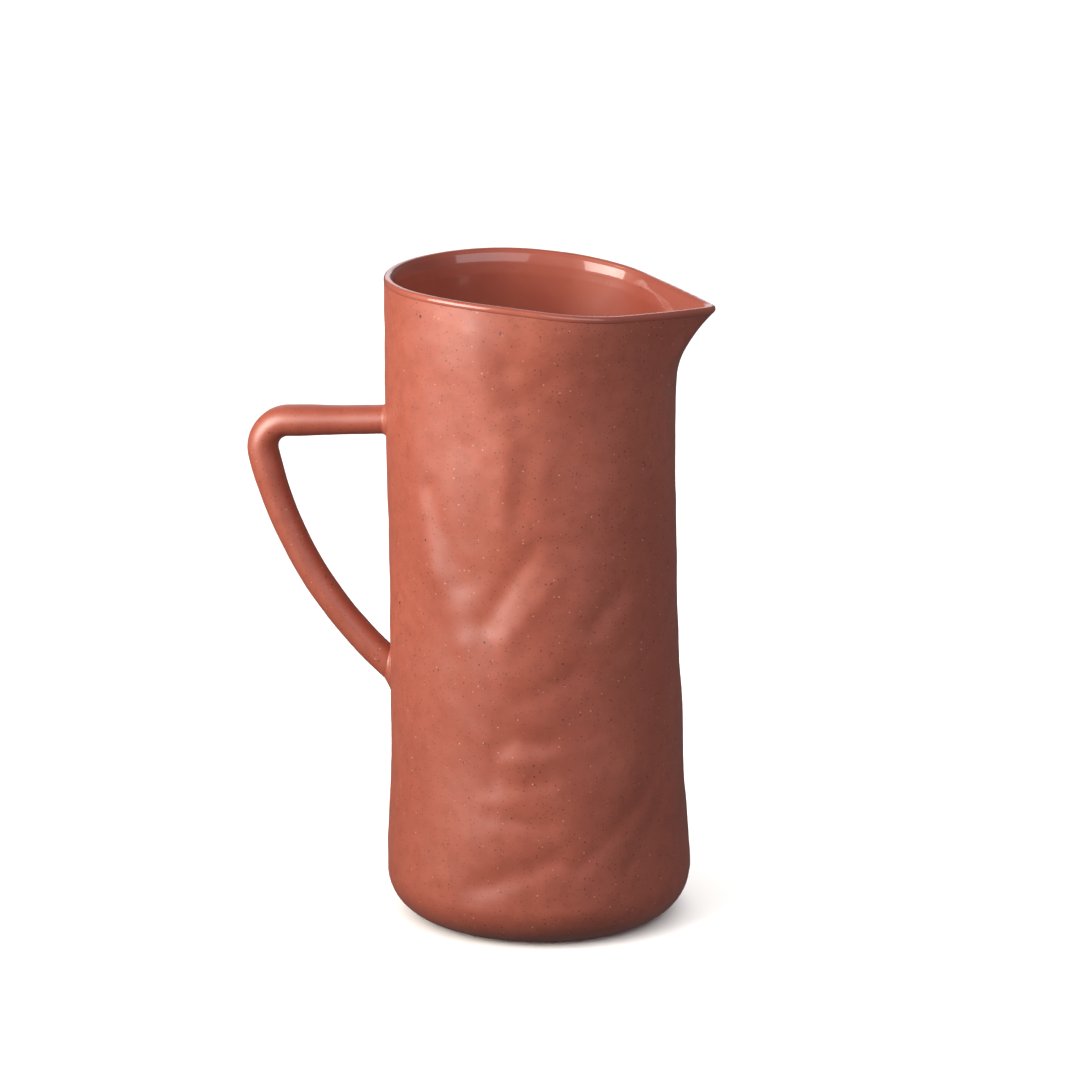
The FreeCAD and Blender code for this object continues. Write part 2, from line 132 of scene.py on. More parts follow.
def outline(heights):
    """Distance from the section's centre to the outer face, one height for each column."""
    ring = smooth_through(PROFILE, 1, heights)
    draw, nose, shoulder, cheek = (smooth_through(SPOUT, k, heights) for k in (1, 2, 3, 4))
    if not draw.any():
        return ring
    shoulder, nose = np.minimum(shoulder, ring), np.minimum(nose, ring)
    reach = ring + draw * (TIP_REACH + SPOUT_LEAN - ring)
    discs = [(0 * ring, 0 * ring, ring), (reach - nose, 0 * ring, nose)]
    discs += [(cheek, side * (ring - shoulder), shoulder) for side in (1, -1)]
    stretched = np.max([
        x[:, None] * np.cos(DIRECTIONS) + y[:, None] * np.sin(DIRECTIONS) + r[:, None]
        for x, y, r in discs], axis=0)
    facing = np.cos(DIRECTIONS[None, :] - ANGLES[:, None])
    bounds = np.where(facing > GRAZING, stretched / np.maximum(facing, GRAZING), np.inf)
    return np.where(draw > 0, bounds.min(axis=1), ring)


near_rim = outline(np.full(ANGLES.shape, 240.0))
print("at 240 mm the spout reaches %.1f, the side %.1f mm" % (
    near_rim[COLUMNS // 2], near_rim[COLUMNS // 4]))


# %% [markdown]
# ## The rim line
# The rim is level behind, then falls in a gentle bend towards the tip of the spout.

# %% Height of the rim over any point
RIM_BEND_START = -40.0              # the rim is level behind this place
RIM_BEND_RADIUS = 400.0
RIM_FALL = math.radians(7.6)        # slope of the straight part, towards the spout


def rim_height(x):
    """Height of the rim where the wall stands x in front of the axis."""
    run = np.maximum(np.asarray(x) - RIM_BEND_START, 0.0)
    bend = RIM_BEND_RADIUS * math.sin(RIM_FALL)
    inside = np.minimum(run, bend)
    sag = RIM_BEND_RADIUS - np.sqrt(RIM_BEND_RADIUS ** 2 - inside ** 2)
    return RIM_BACK - sag - (run - inside) * math.tan(RIM_FALL)


print("the rim falls %.1f mm to the tip" % (RIM_BACK - rim_height(TIP_REACH)))

# %% [markdown]
# ## The potter's marks
# The wall was pressed and paddled while it was soft. That leaves broad facets, short furrows with a
# crest beside them, and a slow waviness. Each mark is given by where it lies: the angle round the
# wall (0 at the spout, -90 at the front) and the height. They move the clay itself, and aren't only
# a shade in the material, so light finds them from every side.

# %% Furrows, crests and facets
FURROWS = [  # (angle, height) to (angle, height), half width, depth
    ((-83, 154), (-101, 128), 4.8, 0.95),
    ((-44, 138), (-58, 125), 5.0, 0.8),
    ((-66, 108), (-86, 98), 5.0, 0.7),
    ((-52, 155), (-79, 160), 3.0, 0.2),
    ((-76, 36), (-106, 24), 4.6, 0.85),
    ((-95, 87), (-99, 63), 4.4, 0.6),
    ((-90, 83), (-76, 82), 3.8, 0.6),
    ((-92, 65), (-78, 66), 3.2, 0.5),
    ((-101, 53), (-78, 50), 3.8, 0.5),
    ((-30, 62), (-66, 33), 3.6, 0.45),
    ((-22, 56), (-46, 30), 3.6, 0.4),
    ((-83, 192), (-87, 168), 5.0, 0.6),
    ((-92, 224), (-86, 206), 4.5, 0.45),
    ((-126, 176), (-112, 142), 5.0, 0.7),
    ((-74, 222), (-86, 214), 4.0, 0.35),
    ((70, 150), (96, 138), 4.5, 0.9),
    ((38, 84), (58, 98), 4.5, 0.7),
    ((104, 96), (86, 78), 4.0, 0.7),
    ((128, 60), (150, 44), 4.5, 0.6),
    ((20, 196), (44, 176), 4.5, 0.55),
]
CRESTS = [  # clay left standing between two presses
    ((-133, 190), (-123, 145), 6.5, 0.65),
    ((-123, 145), (-109, 120), 6.5, 0.65),
    ((-91, 205), (-93, 166), 5.0, 0.6),
    ((-110, 118), (-104, 95), 5.0, 0.45),
    ((-95, 74), (-80, 75), 3.2, 0.4),
    ((-104, 238), (-98, 195), 5.0, 0.5),
    ((-72, 146), (-92, 122), 4.0, 0.5),
    ((82, 200), (76, 160), 5.5, 0.6),
    ((110, 130), (98, 100), 5.0, 0.5),
    ((46, 60), (40, 110), 5.5, 0.5),
]
FACETS = [  # angle, height, half width, half height, depth
    (-98, 146, 14, 22, 1.2),
    (-66, 178, 17, 30, 1.0),
    (-106, 182, 12, 26, 0.9),
    (-62, 84, 17, 22, 0.9),
    (-106, 70, 14, 20, 0.8),
    (-40, 110, 14, 24, 0.7),
    (-72, 46, 18, 14, 0.7),
    (-134, 122, 13, 26, 0.7),
    (-140, 60, 16, 20, 0.6),
    (-20, 160, 16, 28, 0.6),
    (-78, 216, 13, 16, 0.5),
    (18, 120, 16, 26, 0.8),
    (30, 60, 18, 18, 0.8),
    (48, 180, 16, 22, 0.8),
    (75, 110, 18, 28, 1.0),
    (92, 190, 16, 24, 0.8),
    (104, 58, 18, 18, 0.8),
    (128, 130, 16, 26, 0.9),
    (150, 70, 15, 20, 0.6),
    (140, 205, 16, 18, 0.6),
]
print("marks:", len(FURROWS), "furrows,", len(CRESTS), "crests,", len(FACETS), "facets")

# %% [markdown]
# A furrow or crest fades away from its line, and a facet from its middle, as a bell curve does.
# Under them lies the waviness of hand-rolled clay, four noises of falling size, from 42 mm down to
# 3 mm.

# %% How far the clay stands out or in
GIRTH = 56.0                                   # radius that turns an angle on the wall into mm
WAVES = [(42.0, 0.55), (19.0, 0.42), (8.0, 0.15), (3.4, 0.035)]   # wavelength, height


def wave_at(angle, height):
    """Slow and quick waviness of hand-rolled clay at one point of the wall."""
    place = Vector((math.cos(angle) * GIRTH, math.sin(angle) * GIRTH, height))
    return sum(tall * noise.noise(place / long + Vector((long, 3, 1))) for long, tall in WAVES)


def pressed(heights):
    """How far the clay stands out (+) or in (-), one height for each column."""
    moved = np.array([wave_at(angle, height) for angle, height in zip(ANGLES, heights)])
    turn = (np.degrees(ANGLES) + 180.0) % 360.0 - 180.0
    to_mm = math.radians(1.0) * GIRTH
    for marks, sign in ((FURROWS, -1), (CRESTS, 1)):
        for start, end, half, deep in marks:
            ax, ay = start[0] * to_mm, start[1]
            dx, dy = end[0] * to_mm - ax, end[1] - ay
            px, py = turn * to_mm - ax, heights - ay
            along = np.clip((px * dx + py * dy) / (dx * dx + dy * dy), 0, 1)
            away = ((px - along * dx) ** 2 + (py - along * dy) ** 2) / half ** 2
            moved += sign * deep * np.exp(-away)
    for middle, level, half, tall, deep in FACETS:
        around = ((turn - middle + 180) % 360 - 180) * to_mm / half
        moved -= deep * np.exp(-around ** 2 - ((heights - level) / tall) ** 2)
    return moved


half_way_up = pressed(np.full(ANGLES.shape, RIM_BACK / 2))
print("half way up, the clay stands %.2f to %.2f mm" % (half_way_up.min(), half_way_up.max()))

# %% [markdown]
# ## The outer face
# One function answers where the outer face is. The marks fade out at the foot and near the rim,
# which were finished with care, and round the two places where the handle is luted on. The clay
# wall and the glaze are both made from this face, so they fit each other.

# %% Points of the outer face
FOOT_CALM, FOOT_FADE = 4.0, 18.0               # no marks up to here, and how fast they then grow
RIM_CALM, RIM_FADE, RIM_LEFT = 256.0, 24.0, 0.25   # they fade towards here, to this share
JOINTS = [(192.6, 20.0), (95.0, 22.0)]         # heights of the joints, and how far each calms
FOOT_EASE = 0.2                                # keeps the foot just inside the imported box


def calm_at(heights):
    """Share of the potter's marks left at each column: less near foot, rim and handle joints."""
    share = np.clip((heights - FOOT_CALM) / FOOT_FADE, 0, 1)
    share *= np.clip((RIM_CALM - heights) / RIM_FADE, RIM_LEFT, 1)
    from_handle = ANGLES % (2 * math.pi) - math.pi
    for level, spread in JOINTS:
        near = np.hypot(from_handle * GIRTH, heights - level) / spread
        share *= 1 - np.exp(-near ** 4)
    return share


def outer_face(heights, marks=1.0):
    """The outer face as points, one for each column, with a share of the marks."""
    heights = np.broadcast_to(heights, ANGLES.shape).astype(float)
    out = outline(heights)
    if marks:
        out = out + marks * calm_at(heights) * pressed(heights)
    lean = smooth_through(PROFILE, 2, heights)
    return np.stack([out * np.cos(ANGLES) - lean, out * np.sin(ANGLES), heights], axis=1)


def foot_face(turn, rounding):
    """Points of a quarter-round foot; turn is 0 at the table and 90 degrees at its top."""
    out = SEAT_RADIUS + (rounding - FOOT_EASE) * math.sin(turn)
    level = FOOT_ROUND - rounding * math.cos(turn)
    lean = FOOT_LEAN * math.sin(turn)
    return np.stack([out * np.cos(ANGLES) - lean, out * np.sin(ANGLES), 0 * ANGLES + level], axis=1)


print("outer face at 130 mm, mm:", np.ptp(outer_face(130.0), axis=0).round(1)[:2])

# %% [markdown]
# ## Rows from foot to lip
# The rim isn't level, so the rows between foot and lip are spread evenly in each column. Where the
# rim stands depends on how far out the wall is there, so its height is found in a few rounds.

# %% Rim height of each column, and the face in rows
LIP_THICK = 2.9
WALL_THICK = 4.2
LIP_ROUND = LIP_THICK / 2
RIM_ROUNDS = 6
ROWS = [(0, 0.72, 98), (0.72, 0.955, 34), (0.955, 1, 18)]   # from share, to share, rows
CALM_SHARE = 0.3                               # how much of the marks is felt on the inside

rim = np.full(COLUMNS + 1, RIM_BACK)
for _ in range(RIM_ROUNDS):
    rim = rim_height(outer_face(rim, 0.0)[:, 0])
shares = np.concatenate([
    np.linspace(low, high, count, endpoint=high == 1) for low, high, count in ROWS])


def face_rows(marks):
    """The outer face from the top of the foot to just under the lip, as rows of points."""
    span = rim - LIP_ROUND - FOOT_ROUND
    return np.array([outer_face(FOOT_ROUND + share * span, marks) for share in shares])


def outward(face):
    """Unit normals of a face given in rows."""
    up = np.gradient(face, axis=0)
    around = np.gradient(face, axis=1)
    around[:, 0] = around[:, -1] = face[:, 1] - face[:, -2]
    across = np.cross(around, up)
    return across / np.linalg.norm(across, axis=2, keepdims=True)


marked_face, calm_face = face_rows(1.0), face_rows(CALM_SHARE)
print("rim height, mm: back %.1f, spout %.1f" % (rim.max(), rim.min()))

# %% [markdown]
# ## Rolling up a slab
# A real slab-built pitcher starts as a flat sheet of clay that is rolled up and joined along one
# seam. Here a flat grid is added, every point of it is carried to its place on the vessel, and the
# seam is welded by merging its doubles. A sculptor would say the grid is pushed into shape.

# %% The slab roller
def only(piece):
    """Makes one object the only selected and the active one."""
    bpy.ops.object.select_all(action="DESELECT")
    piece.select_set(True)
    bpy.context.view_layer.objects.active = piece


def in_edit_mode(piece, *steps):
    """Runs edit-mode operators on everything in the piece."""
    only(piece)
    bpy.ops.object.mode_set(mode="EDIT")
    bpy.ops.mesh.select_mode(type="VERT")
    bpy.ops.mesh.select_all(action="SELECT")
    for step in steps:
        step()
    bpy.ops.object.mode_set(mode="OBJECT")


def weld():
    """Merges points that lie in one place, which closes seams and poles."""
    bpy.ops.mesh.remove_doubles(threshold=0.01 * MM)


def face_outwards():
    """Turns every face of a closed shell to its outside."""
    bpy.ops.mesh.normals_make_consistent(inside=False)


def rolled_slab(name, rows):
    """A flat grid carried onto rows of points in millimetres, welded where its edges meet."""
    down, across = len(rows) - 1, rows.shape[1] - 1
    bpy.ops.object.select_all(action="DESELECT")
    bpy.ops.mesh.primitive_grid_add(x_subdivisions=across, y_subdivisions=down, size=2.0)
    slab = bpy.context.object
    slab.name = slab.data.name = name
    for vertex in slab.data.vertices:
        column = round((vertex.co.x + 1) / 2 * across)
        row = round((vertex.co.y + 1) / 2 * down)
        vertex.co = Vector(rows[row, column]) * MM
    in_edit_mode(slab, weld, face_outwards)
    bpy.ops.object.shade_smooth()
    return slab


print("a full slab has", COLUMNS, "columns and", len(shares), "rows up one side")

# %% [markdown]
# ## The wall
# One closed section is carried round: up the paddled foot, up the outside, over the round lip, down
# the inside, and round the corner where the coil sits. The inside keeps only a share of the marks,
# because a press on the outside is felt less within.

# %% Over the lip
def lip_arc(face, thick, steps, swell=0.0):
    """Rows that go over the lip, from the outer face to the inner one."""
    top, normal = face[-1], outward(face)[-1]
    up = face[-1] - face[-3]
    up = up / np.linalg.norm(up, axis=1, keepdims=True)
    middle = top - normal * thick / 2
    turns = np.linspace(0, math.pi, steps + 2)[1:-1]
    reach = thick / 2 + swell
    return [middle + reach * (math.cos(t) * normal + math.sin(t) * up) for t in turns]


LIP_STEPS = 9
print("lip:", LIP_STEPS, "rows round a thickness of", LIP_THICK, "mm")

# %% [markdown]
# Fingers thin the wall from the inside over its last centimetre, so the inside flares to the lip.
# Lower down, the inside follows the calmer face. Near the lip it follows the marked one, so that
# the lip keeps its thickness.

# %% The inner face
THINNING = np.array([  # distance below the lip, thickness of the wall
    (0, LIP_THICK), (1.6, 3.35), (3.6, 3.85), (8.0, WALL_THICK)])
BLEND_FROM = 0.85                              # share of the height where the inside turns marked
FULL_ROWS = 20                                 # rows under the lip that are all kept

below_lip = (1 - shares) * (RIM_BACK - FOOT_ROUND)
thickness = np.interp(below_lip, THINNING[:, 0], THINNING[:, 1])[:, None, None]
blend = np.clip((shares - BLEND_FROM) / (1 - BLEND_FROM), 0, 1)[:, None, None]
inner_face = ((calm_face - outward(calm_face) * thickness) * (1 - blend)
              + (marked_face - outward(marked_face) * thickness) * blend)


def thinned(face):
    """Every other row of the inside, but all the rows near the lip, where it curves."""
    return list(face[:-FULL_ROWS:2]) + list(face[-FULL_ROWS:])


print("inside:", len(thinned(inner_face)), "rows, wall %.1f to %.1f mm" % (LIP_THICK, WALL_THICK))

# %% [markdown]
# The rows are now put in order, from the seat up the outside and down the inside back to the seat,
# and the slab is rolled onto them. The first row is also the last, so the shell closes.

# %% The wall, rolled up
QUARTER = math.pi / 2
INNER_ROUND = FOOT_ROUND - WALL_THICK
foot_rows = [foot_face(t, FOOT_ROUND) for t in np.linspace(0, QUARTER, 16)[:-1]]
corner_rows = [foot_face(t, INNER_ROUND) for t in np.linspace(QUARTER, 0, 10)]
wall_rows = np.array(foot_rows + list(marked_face) + lip_arc(marked_face, LIP_THICK, LIP_STEPS)
                     + thinned(inner_face)[::-1] + corner_rows + [foot_rows[0]])
body_wall = rolled_slab("pitcher_wall", wall_rows)
print("wall:", len(body_wall.data.polygons), "faces")

# %% [markdown]
# ## The floor slab
# The floor is a disc of clay let into the foot, with a scored line where the two meet. A cylinder
# is added at the slab's size, its edges are softened with a bevel, and its ends are inset in rings,
# so that they can be sunk a little. A fired slab is never quite flat.

# %% Floor slab: cylinder, inset rings, soft edge
SLAB_SOFT_EDGE = 0.5
SLAB_RINGS = (1.0, 3.0, 6.0, 9.0, 9.0, 8.0)    # widths of the inset rings, from the rim inwards
HOLLOW, HOLLOW_CHANGE = 0.35, 0.2              # how far the ends are sunk, and how unevenly
HOLLOW_PATCH, HOLLOW_TO = 14.0, 0.95           # size of its patches, and share of the radius sunk
TOP_SHARE = -0.5                               # the top sinks down, half as far as the underside

bpy.ops.object.select_all(action="DESELECT")
bpy.ops.mesh.primitive_cylinder_add(
    vertices=96, radius=SEAT_RADIUS * MM, depth=FLOOR_TOP * MM, location=(0, 0, FLOOR_TOP / 2 * MM))
floor_slab = bpy.context.object
floor_slab.name = floor_slab.data.name = "pitcher_floor_slab"
bpy.ops.object.transform_apply(location=True)


def pick_ends():
    """Selects the two round ends, the only faces of the slab with many corners."""
    bpy.ops.mesh.select_mode(type="FACE")
    bpy.ops.mesh.select_all(action="DESELECT")
    bpy.ops.mesh.select_face_by_sides(number=4, type="GREATER")


def soften_edges():
    """Bevels the edges of the selected ends."""
    bpy.ops.mesh.bevel(offset=SLAB_SOFT_EDGE * MM, segments=3, affect="EDGES")


def ring_ends():
    """Insets the ends ring by ring, so that they can be sunk smoothly."""
    for ring in SLAB_RINGS:
        bpy.ops.mesh.inset(thickness=ring * MM, use_individual=False)


in_edit_mode(floor_slab, pick_ends, soften_edges, pick_ends, ring_ends)
for vertex in floor_slab.data.vertices:
    place = Vector((vertex.co.x, vertex.co.y, 0)) / (HOLLOW_PATCH * MM)
    if vertex.co.xy.length < HOLLOW_TO * SEAT_RADIUS * MM:
        hollow = HOLLOW + HOLLOW_CHANGE * noise.noise(place)
        vertex.co.z += hollow * MM * (1 if vertex.co.z < FLOOR_TOP / 2 * MM else TOP_SHARE)
bpy.ops.object.shade_smooth_by_angle(angle=math.radians(40))
print("floor slab:", len(floor_slab.data.polygons), "faces")

# %% [markdown]
# ## The coil in the corner
# A thin roll of soft clay is pressed into the corner between wall and floor, so that the seam holds
# water. A torus is added there and its section is pushed out to fill the corner: round against the
# wall and hollow towards the room.

# %% Coil: a torus pressed into the corner
COVE = COIL_TOP - FLOOR_TOP                    # radius of the hollow side
INSIDE = FOOT_RADIUS - WALL_THICK              # radius of the wall's inner face
COIL_COLUMNS, COIL_STEPS = 96, 32
RING_RADIUS, RING_SECTION, RING_LEVEL = 48.0, 5.0, 12.0   # the torus, before it is pressed


def coil_section(share):
    """One point of the coil's section, radius and height, for a share of the way round it."""
    outer = share < 0.5
    t = share * 2 if outer else share * 2 - 1
    if outer:                                  # down the wall, round its inner corner, to the slab
        turn = QUARTER * (1 - t)
        return SEAT_RADIUS + INNER_ROUND * math.sin(turn), FOOT_ROUND - INNER_ROUND * math.cos(turn)
    turn = QUARTER * t                         # back up the hollow side
    return INSIDE - COVE + COVE * math.sin(turn), COIL_TOP - COVE * math.cos(turn)


bpy.ops.object.select_all(action="DESELECT")
bpy.ops.mesh.primitive_torus_add(
    major_segments=COIL_COLUMNS, minor_segments=COIL_STEPS, major_radius=RING_RADIUS * MM,
    minor_radius=RING_SECTION * MM, location=(0, 0, RING_LEVEL * MM))
corner_coil = bpy.context.object
corner_coil.name = corner_coil.data.name = "pitcher_seam_coil"
bpy.ops.object.transform_apply(location=True)
for vertex in corner_coil.data.vertices:
    around = math.atan2(vertex.co.y, vertex.co.x)
    section = math.atan2(vertex.co.z - RING_LEVEL * MM, vertex.co.xy.length - RING_RADIUS * MM)
    radius, height = coil_section((QUARTER - section) / (2 * math.pi) % 1.0)
    vertex.co = Vector((radius * math.cos(around), radius * math.sin(around), height)) * MM
in_edit_mode(corner_coil, weld, face_outwards)
bpy.ops.object.shade_smooth()
print("coil:", len(corner_coil.data.polygons), "faces")

# %% [markdown]
# ## The handle
# The handle is a rolled rod of clay, bent once over the thumb and let fall in a long easy curve. A
# ring is added where the rod leaves the wall, squeezed to an oval, drawn out for the straight leg,
# spun round the corner and spun again, on a much larger radius, down the long arm.

# %% Line of the handle, in the plane of the loop
LEG_LEVEL, LEG_DROOP, LEG_LENGTH = 192.6, math.radians(2.6), 43.4
LEG_START = -54.0                              # inside the wall; the rod is trimmed afterwards
TRIM_AT = -56.2                                # where both ends are cut, just inside the wall
CORNER_RADIUS, CORNER_TURN = 10.5, math.radians(100)
ARM_RADIUS, ARM_TURN = 155.0, math.radians(39)
ROD_THICK, ROD_WIDE = 11.0, 13.6
LEG_STEPS, CORNER_STEPS, ARM_STEPS = 24, 20, 64


def inner_side(way):
    """The direction square to a way along the rod, towards the inside of the loop."""
    return Vector((-way.z, 0, way.x))


def turned_way(way, turn):
    """A direction in the plane of the loop, turned towards the inside of the loop."""
    return way * math.cos(turn) + inner_side(way) * math.sin(turn)


leg_way = Vector((-math.cos(LEG_DROOP), 0, -math.sin(LEG_DROOP)))
leg_start = Vector((LEG_START, 0, LEG_LEVEL))
leg_end = leg_start + leg_way * LEG_LENGTH
corner_centre = leg_end + inner_side(leg_way) * CORNER_RADIUS
arm_way = turned_way(leg_way, CORNER_TURN)
corner_end = corner_centre - inner_side(arm_way) * CORNER_RADIUS
arm_centre = corner_end + inner_side(arm_way) * ARM_RADIUS
print("corner at, mm:", [round(v, 1) for v in leg_end], "to", [round(v, 1) for v in corner_end])

# %% [markdown]
# The rod's section follows that line. It is extruded along the leg in short steps, because later
# the points between are moved a little, and then two spins carry it round the corner and the arm.

# %% Handle: draw out, spin, spin
bpy.ops.object.select_all(action="DESELECT")
bpy.ops.mesh.primitive_circle_add(
    vertices=48, radius=MM, location=leg_start * MM, rotation=(0, -QUARTER - LEG_DROOP, 0))
handle = bpy.context.object
handle.name = handle.data.name = "pitcher_handle"
bpy.ops.object.transform_apply(location=True, rotation=True)


def squeeze_ring():
    """Makes the round ring the oval of the rod."""
    squash = (ROD_THICK / 2, ROD_WIDE / 2, ROD_THICK / 2)
    bpy.ops.transform.resize(value=squash, center_override=leg_start * MM)


def draw_out_leg():
    """Extrudes the oval along the straight leg."""
    for _ in range(LEG_STEPS):
        bpy.ops.mesh.extrude_region_move(
            TRANSFORM_OT_translate={"value": leg_way * (LEG_LENGTH / LEG_STEPS * MM)})


def spin_corner():
    """Spins the end of the leg round the tight corner."""
    bpy.ops.mesh.spin(
        steps=CORNER_STEPS, angle=CORNER_TURN, center=corner_centre * MM, axis=(0, 1, 0))


def spin_arm():
    """Spins on, round a centre far off, down the long arm."""
    bpy.ops.mesh.spin(steps=ARM_STEPS, angle=ARM_TURN, center=arm_centre * MM, axis=(0, 1, 0))


in_edit_mode(handle, squeeze_ring, draw_out_leg, spin_corner, spin_arm)
print("handle, mm:", [round(v / MM, 1) for v in handle.dimensions])

# %% [markdown]
# ## The touch of fingers on the handle
# A rolled rod swells a little where it was bent and is never quite even. The points are moved along
# the line from the rod's centre, so the section breathes. Both ends are then cut upright, so that
# they lie inside the wall.

# %% Handle: swelling, unevenness, cut ends
BEND_SWELL = 0.10                              # how much thicker the rod is at the corner
LEG_FADE, ARM_FADE = 14.0, 16.0                # how far the swelling reaches along leg and arm
UNEVEN = [(24, 0.045), (9, 0.02)]              # size of the uneven places, and their share


def rod_centre(place):
    """Nearest point of the rod's centre line to a place, in mm, and how bent it is there."""
    flat = Vector((place.x, 0, place.z))
    from_corner, from_arm = flat - corner_centre, flat - arm_centre
    along_leg = (flat - leg_end).dot(leg_way)
    if along_leg <= 0 and flat.z > corner_centre.z:
        return leg_end + leg_way * along_leg, math.exp(-(along_leg / LEG_FADE) ** 2)
    past = (flat - corner_end).dot(arm_way)
    if past <= 0:
        return corner_centre + from_corner.normalized() * CORNER_RADIUS, 1.0
    return arm_centre + from_arm.normalized() * ARM_RADIUS, math.exp(-(past / ARM_FADE) ** 2)


for vertex in handle.data.vertices:
    place = vertex.co / MM
    centre, bent = rod_centre(place)
    swell = 1 + BEND_SWELL * bent + sum(most * noise.noise(place / size) for size, most in UNEVEN)
    vertex.co = (centre + (place - centre) * swell) * MM


def trim_ends():
    """Cuts off what reaches too far into the wall, and closes the cuts."""
    bpy.ops.mesh.bisect(
        plane_co=(TRIM_AT * MM, 0, 0), plane_no=(1, 0, 0), use_fill=True, clear_outer=True)
    bpy.ops.mesh.select_all(action="SELECT")


in_edit_mode(handle, weld, trim_ends, face_outwards)
bpy.ops.object.shade_smooth_by_angle(angle=math.radians(50))
print("handle:", len(handle.data.polygons), "faces")

# %% [markdown]
# ## Luting the handle on
# The rod is joined to the wall with slip, a paste of the same clay, and the joint is wiped round
# with a finger. That leaves a small collar that flows from the rod onto the wall. To place it, the
# wall's face is looked up where the rod comes to it.

# %% Where the wall is, behind the joints
LADDER_STEP = 3.0
LADDER = np.arange(74.0, 216.0, LADDER_STEP)   # heights at which the wall is looked up
NEAR = 20                                      # columns on each side of the handle
MEETING_ROUNDS = 8
ladder_faces = np.array([outer_face(height)[:, :2] for height in LADDER])


def wall_x(y, z):
    """Where the outer face is, on the handle's side, y off the middle and at height z."""
    rung = min(max((z - LADDER[0]) / LADDER_STEP, 0.0), len(LADDER) - 1.001)
    low = int(rung)
    found = []
    for face in (ladder_faces[low], ladder_faces[low + 1]):
        near = np.roll(face[:-1], NEAR, axis=0)[:2 * NEAR + 1][::-1]   # by rising y
        found.append(np.interp(y, near[:, 1], near[:, 0]))
    return found[0] + (found[1] - found[0]) * (rung - low)


def meeting(start, way):
    """Where a line along the rod meets the wall, found in a few rounds."""
    met = 0.0
    for _ in range(MEETING_ROUNDS):
        place = start + way * met
        met += (wall_x(start.y, place.z) - place.x) / way.x
    return start + way * met


print("wall at the upper joint, x in mm: %.1f" % wall_x(0.0, LEG_LEVEL))

# %% [markdown]
# One column of a collar starts on the rod, bends into the hollow of the joint, lands on the wall,
# and goes back to the rod under the clay's faces, where it isn't seen. Below the rod there may be
# more slip than above it, because wet slip sags.

# %% Collars of slip
COLLAR_COLUMNS, COLLAR_ROWS = 72, 12
PROUD, OFF_WALL = 0.12, 0.1                    # how far the collar stands off the rod and the wall
UNDER = 1.2                                    # how far its hidden side lies inside the rod
WALL_TUCK, MIDDLE_TUCK = 0.7, 0.9              # how far it lies inside the wall
EDGE_TUCK = 0.3                                # how far it draws back from the visible edge
BEND = 0.35                                    # how full the hollow is
DOWN, INTO_WALL = Vector((0, 0, -1)), Vector((1, 0, 0))


def collar_column(root, way, turn, reach, spread, drop):
    """One closed section of a collar; reach is along the rod, spread along the wall."""
    ring = (inner_side(way) * (ROD_THICK / 2 * math.cos(turn))
            + Vector((0, ROD_WIDE / 2 * math.sin(turn), 0)))
    off_rod = ring.normalized()
    sagged = drop * max(0.0, off_rod.dot(DOWN))
    meet = meeting(root + ring, way)
    along_wall = Vector((0, off_rod.y, off_rod.z if abs(off_rod.z) > 0.01 else 0))
    along_wall = along_wall.normalized() if along_wall.length > 0.1 else off_rod
    on_rod = meet + way * (reach + sagged) + off_rod * PROUD
    landing = meet + along_wall * (spread + sagged)
    landing.x = wall_x(landing.y, landing.z) - OFF_WALL
    hollow = meet + off_rod * (BEND * spread) - INTO_WALL * (BEND * reach)
    column = []
    for row in range(COLLAR_ROWS + 1):
        t = row / COLLAR_ROWS
        column.append(on_rod * (1 - t) ** 2 + hollow * (2 * t * (1 - t)) + landing * t * t)
    column.append(landing + INTO_WALL * WALL_TUCK - along_wall * EDGE_TUCK)
    column.append(meet + INTO_WALL * MIDDLE_TUCK - off_rod * UNDER)
    column.append(on_rod - off_rod * UNDER)
    return column + [on_rod]


def collar(name, root, way, reach, spread, drop):
    """A ring of slip round the rod; drop is how much further it reaches below."""
    turns = [2 * math.pi * step / COLLAR_COLUMNS for step in range(COLLAR_COLUMNS + 1)]
    columns = [collar_column(root, way, turn, reach, spread, drop) for turn in turns]
    return rolled_slab(name, np.array(columns).transpose(1, 0, 2))


arm_turned = turned_way(leg_way, CORNER_TURN + ARM_TURN)
arm_last = (arm_centre + (corner_end - arm_centre) * math.cos(ARM_TURN)
            + arm_way * (ARM_RADIUS * math.sin(ARM_TURN)))
leg_root = Vector((-58, 0, LEG_LEVEL - 0.2))   # on the leg's line, near the wall's face
upper_collar = collar(
    "pitcher_upper_joint", leg_root, leg_way, reach=1.6, spread=1.5, drop=0.0)
lower_collar = collar(
    "pitcher_lower_joint", arm_last, -arm_turned, reach=2.2, spread=1.8, drop=1.5)
print("arm ends at, mm:", [round(v, 1) for v in arm_last], "joints:",
      len(upper_collar.data.polygons) + len(lower_collar.data.polygons), "faces")

# %% [markdown]
# ## The glaze inside
# Glaze is a coat of glass. It is poured in and out again, so it covers the floor, the coil, the
# inside and the lip, and it ends in a fine line just under the lip on the outside, where it was
# wiped. It is a thin closed skin: out over the lip on its free side, and back along the clay.

# %% Rows of the glaze skin
COAT = 0.45                                    # thickness of the coat inside
LIP_COAT = 0.10                                # thinner over the lip, where it drains away
WIPED = 0.9                                    # how far it comes down the outside
WIPED_STEPS = (1.0, 0.75, 0.5, 0.25, 0.0)      # rows from the wiped edge up
THIN_EDGE = 1.6                                # how soon the coat is full above the wiped edge
FLAT_RINGS, COVE_RINGS, OVER_LIP = 16, 14, 11  # rows on the floor, up the coil, over the lip


def level_ring(radius, level):
    """One level ring of points round the axis."""
    return np.stack(
        [radius * np.cos(ANGLES), radius * np.sin(ANGLES), 0 * ANGLES + level], axis=1)


